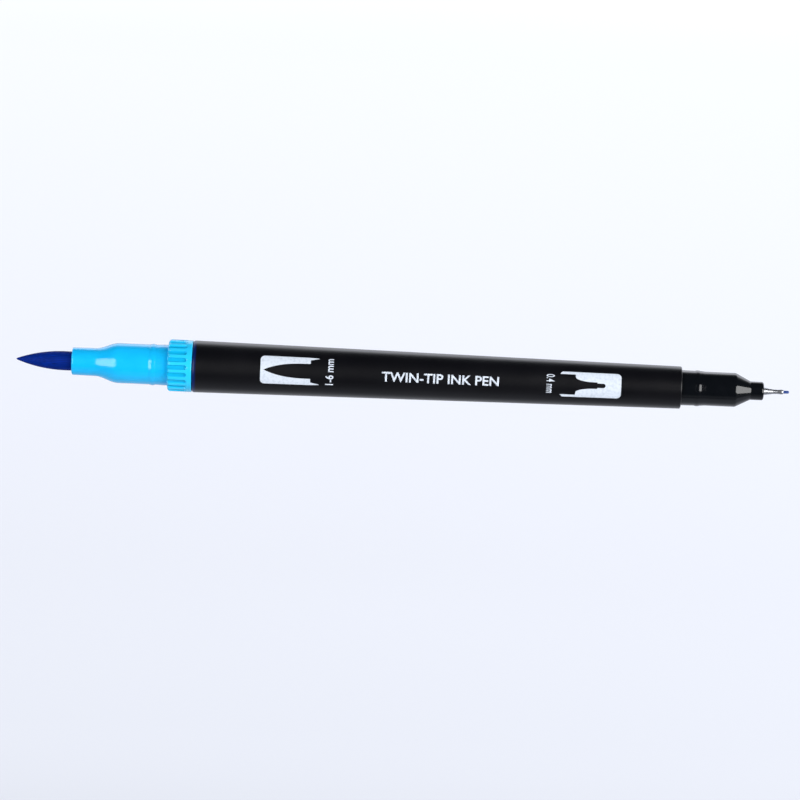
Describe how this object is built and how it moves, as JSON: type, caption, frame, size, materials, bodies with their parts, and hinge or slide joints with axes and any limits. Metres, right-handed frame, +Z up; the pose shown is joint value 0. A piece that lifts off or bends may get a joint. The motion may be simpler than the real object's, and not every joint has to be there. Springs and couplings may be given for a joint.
{
  "type": "twin-tip calligraphy marker",
  "caption": "Slim twin-tip calligraphy marker, caps off: a pointed brush nib in a flared section with a ribbed collar, a tapered barrel, and a fine liner in a steel ferrule.",
  "frame": {"origin": "on the pen's axis, half way between the point of the brush nib and the end of the fine nib", "axes": "+X along the pen from the brush nib to the fine nib, +Z up"},
  "size_m": [0.159, 0.0106, 0.0107],
  "materials": {
    "barrel_plastic": "satin moulded",
    "reservoir_fibre": "ink-soaked fibre",
    "reservoir_film": "clear film",
    "brush_section_plastic": "gloss moulded",
    "brush_fibre": "ink-soaked fibre",
    "fine_section_plastic": "gloss moulded",
    "ferrule_steel": "drawn and polished",
    "fine_nib_plastic": "ground, ink-stained"
  },
  "bodies": {
    "barrel_unit": {"barrel": "barrel_plastic", "reservoir_core": "reservoir_fibre", "reservoir_film": "reservoir_film"},
    "brush_front": {"brush_section": "brush_section_plastic"},
    "brush_tip": {"brush_nib": "brush_fibre"},
    "fine_front": {"fine_section": "fine_section_plastic", "ferrule": "ferrule_steel", "fine_nib": "fine_nib_plastic"}
  },
  "joints": [
    {"name": "brush_section_pull", "type": "slide", "parent": "barrel_unit", "child": "brush_front", "axis": [-1, 0, 0], "range_m": [0, 0.018]},
    {"name": "brush_nib_pull", "type": "slide", "parent": "brush_front", "child": "brush_tip", "axis": [-1, 0, 0], "range_m": [0, 0.028]},
    {"name": "fine_section_pull", "type": "slide", "parent": "barrel_unit", "child": "fine_front", "axis": [1, 0, 0], "range_m": [0, 0.018]}
  ]
}
